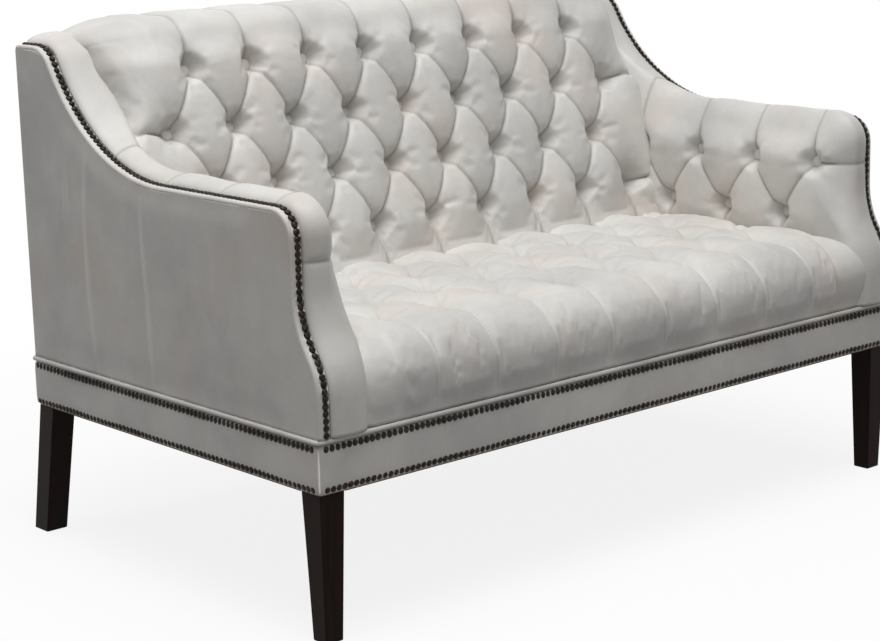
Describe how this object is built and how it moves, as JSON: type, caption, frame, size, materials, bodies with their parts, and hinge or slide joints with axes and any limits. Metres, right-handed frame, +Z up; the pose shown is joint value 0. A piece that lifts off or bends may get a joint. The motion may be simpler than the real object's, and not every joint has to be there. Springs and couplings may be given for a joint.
{
  "type": "chesterfield sofa",
  "caption": "Compact deep-buttoned leather settee with low swept arms, tight tufted seat, nailed base band and square tapered wooden legs, for seating in a room.",
  "frame": {"origin": "centre of the bounding box, on the floor under the sofa", "axes": "+X to the right of someone facing the sofa, -Y towards that viewer (the front), +Z up"},
  "size_m": [1.41, 0.882, 0.928],
  "materials": {
    "leather": "antiqued off-white hide with a soft sheen",
    "foam": "upholstery foam and wadding",
    "frame_wood": "raw beech frame stock",
    "dark_wood": "dark satin stain",
    "nail_bronze": "dark antiqued bronze",
    "spring_steel": "bright wire",
    "webbing": "jute",
    "black_cloth": "woven bottoming cloth"
  },
  "bodies": {
    "root": {"arm_webbing": "webbing", "back_band": "leather", "back_buttons": "leather", "back_foam": "foam", "back_tack_rail": "frame_wood", "back_top_rail": "frame_wood", "back_webbing": "webbing", "base_piping": "leather", "centre_back_upright": "frame_wood", "corner_block_screws": "spring_steel", "corner_blocks": "frame_wood", "dust_cover": "black_cloth", "frame_dowels": "frame_wood", "front_band": "leather", "inside_back_cover": "leather", "left_arm_buttons": "leather", "left_arm_foam": "foam", "left_arm_nails": "nail_bronze", "left_arm_tack_rail": "frame_wood", "left_arm_top_rail": "frame_wood", "left_back_leg": "dark_wood", "left_back_post": "frame_wood", "left_back_upright": "frame_wood", "left_front_leg": "dark_wood", "left_front_post": "frame_wood", "left_inside_arm_cover": "leather", "left_outside_arm_cover": "leather", "left_seat_brace": "frame_wood", "left_side_band": "leather", "left_side_rail": "frame_wood", "left_wing_panel": "frame_wood", "leg_bolts": "spring_steel", "leg_nuts": "spring_steel", "lower_band_nails": "nail_bronze", "outside_back_panel": "leather", "right_arm_buttons": "leather", "right_arm_foam": "foam", "right_arm_nails": "nail_bronze", "right_arm_tack_rail": "frame_wood", "right_arm_top_rail": "frame_wood", "right_back_leg": "dark_wood", "right_back_post": "frame_wood", "right_back_upright": "frame_wood", "right_front_leg": "dark_wood", "right_front_post": "frame_wood", "right_inside_arm_cover": "leather", "right_outside_arm_cover": "leather", "right_seat_brace": "frame_wood", "right_side_band": "leather", "right_side_rail": "frame_wood", "right_wing_panel": "frame_wood", "seat_back_rail": "frame_wood", "seat_buttons": "leather", "seat_cover": "leather", "seat_deck_cloth": "webbing", "seat_foam": "foam", "seat_front_rail": "frame_wood", "seat_springs": "spring_steel", "spring_clips": "spring_steel", "upper_band_nails": "nail_bronze"}
  },
  "joints": []
}
